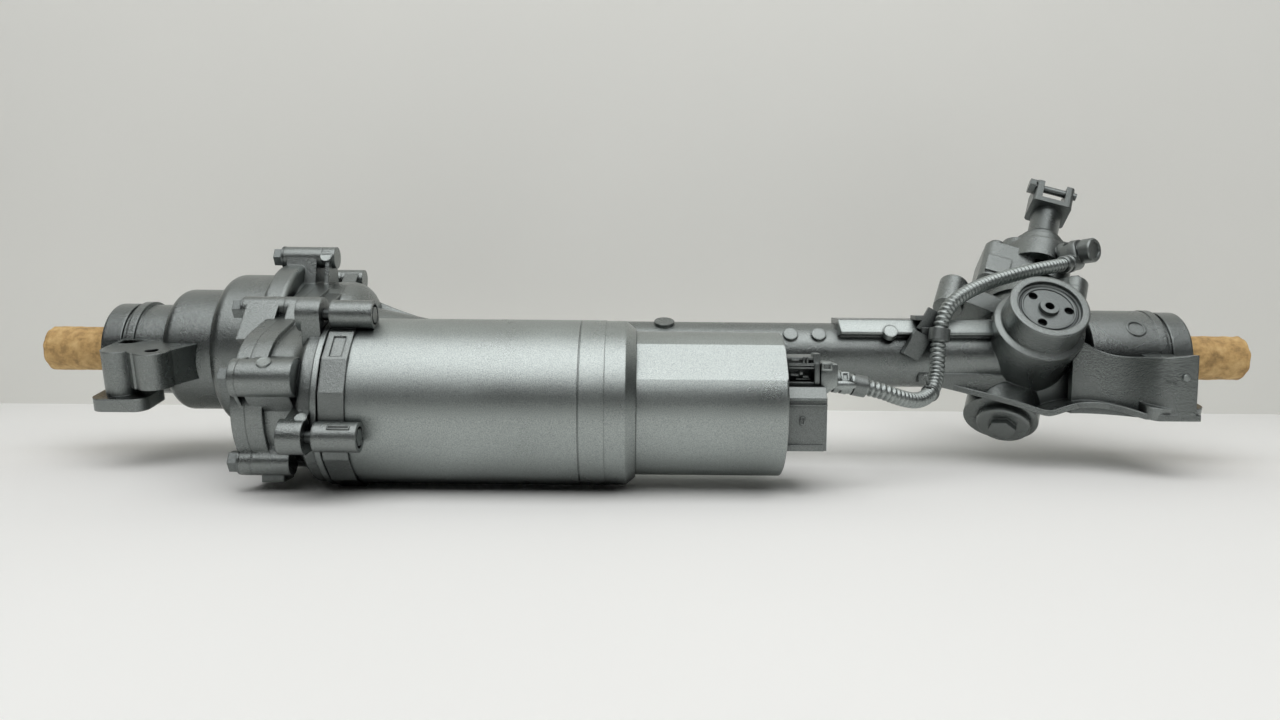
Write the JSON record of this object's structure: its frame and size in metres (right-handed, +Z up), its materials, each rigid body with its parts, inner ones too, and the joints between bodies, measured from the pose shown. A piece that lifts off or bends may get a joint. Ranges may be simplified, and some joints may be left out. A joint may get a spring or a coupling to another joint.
{
  "type": "electric power steering rack",
  "caption": "Long rack-and-pinion steering gear in silver cast housings, with a belt-driven motor beside it, a leaning sensor tower, two mounting brackets and a conduit cable.",
  "frame": {"origin": "middle of the bounding box, on the table under the part", "axes": "+X along the rack towards its pinion end, +Y away from the motor, +Z up"},
  "size_m": [0.842, 0.3046, 0.2134],
  "materials": {
    "cast_silver": "satin",
    "painted_steel": "satin",
    "painted_plastic": "satin",
    "bare_steel": "satin",
    "bearing_steel": "polished",
    "magnet": "matte",
    "core_steel": "matte",
    "bush_plastic": "matte",
    "belt_rubber": "matte",
    "board": "satin",
    "pin_brass": "satin",
    "wrap_paper": "matte"
  },
  "bodies": {
    "housing": {"bearing_lock_ring": "bare_steel", "bush": "bush_plastic", "cable_conduit": "painted_plastic", "capacitors": "core_steel", "control_board": "board", "control_housing": "cast_silver", "control_plug": "painted_plastic", "drive_belt": "belt_rubber", "gear_housing": "cast_silver", "heat_sink": "cast_silver", "joint_bolts": "painted_steel", "left_bracket": "cast_silver", "motor_bearing_front": "bearing_steel", "motor_bearing_rear": "bearing_steel", "motor_bolts": "painted_steel", "motor_flange": "cast_silver", "motor_seal": "belt_rubber", "motor_tube": "painted_steel", "nut_bearing_balls": "bearing_steel", "nut_bearing_outer": "bearing_steel", "pinion_bearing_high": "bearing_steel", "pinion_bearing_low": "bearing_steel", "pinion_cap": "cast_silver", "power_connector": "painted_plastic", "power_pins": "pin_brass", "rack_housing": "cast_silver", "rear_shield": "cast_silver", "right_bracket": "cast_silver", "saddle_clip": "painted_plastic", "sensor_board": "board", "sensor_bolts": "painted_steel", "sensor_housing": "cast_silver", "sensor_socket": "painted_plastic", "shaft_seal": "belt_rubber", "stator": "core_steel", "tower_plug": "painted_plastic", "tower_socket": "painted_plastic", "tube_clip": "painted_steel", "yoke": "cast_silver", "yoke_liner": "bush_plastic", "yoke_plug": "cast_silver", "yoke_spring": "bare_steel"},
    "rack": {"rack_bar": "bare_steel", "wrap_left": "wrap_paper", "wrap_right": "wrap_paper"},
    "steering_pinion": {"pinion": "bare_steel", "torsion_bar": "bare_steel", "pinion_collar": "bare_steel", "input_shaft": "painted_steel", "input_collar": "bare_steel", "dust_disc": "painted_steel", "coupling_fork": "painted_steel", "pinch_bolt": "painted_steel"},
    "nut_group": {"ball_nut": "bare_steel", "nut_bearing_inner": "bearing_steel", "nut_lock_ring": "bare_steel", "large_pulley": "bush_plastic"},
    "motor_rotor": {"rotor_shaft": "bare_steel", "rotor": "magnet", "small_pulley": "bare_steel"}
  },
  "joints": [
    {"name": "nut_spin", "type": "hinge", "parent": "housing", "child": "nut_group", "pos_m": [-0.25, 0.01167, 0.0743], "axis": [1, 0, 0], "range_deg": [-3857.14, 3857.14]},
    {"name": "rack_slide", "type": "slide", "parent": "housing", "child": "rack", "axis": [1, 0, 0], "range_m": [-0.075, 0.075]},
    {"name": "pinion_spin", "type": "hinge", "parent": "housing", "child": "steering_pinion", "pos_m": [0.267, 0.02532, 0.06256], "axis": [0.3665, 0.6067, 0.7054], "range_deg": [-537.16, 537.16]},
    {"name": "rotor_spin", "type": "hinge", "parent": "housing", "child": "motor_rotor", "pos_m": [-0.1, -0.08703, 0.051], "axis": [1, 0, 0], "range_deg": [-10073, 10073]}
  ],
  "couplings": [
    {"joint": "rack_slide", "follows": "nut_spin", "m_per_rad": -0.0011141},
    {"joint": "pinion_spin", "follows": "nut_spin", "ratio": -0.13926},
    {"joint": "rotor_spin", "follows": "nut_spin", "ratio": 2.6111}
  ]
}
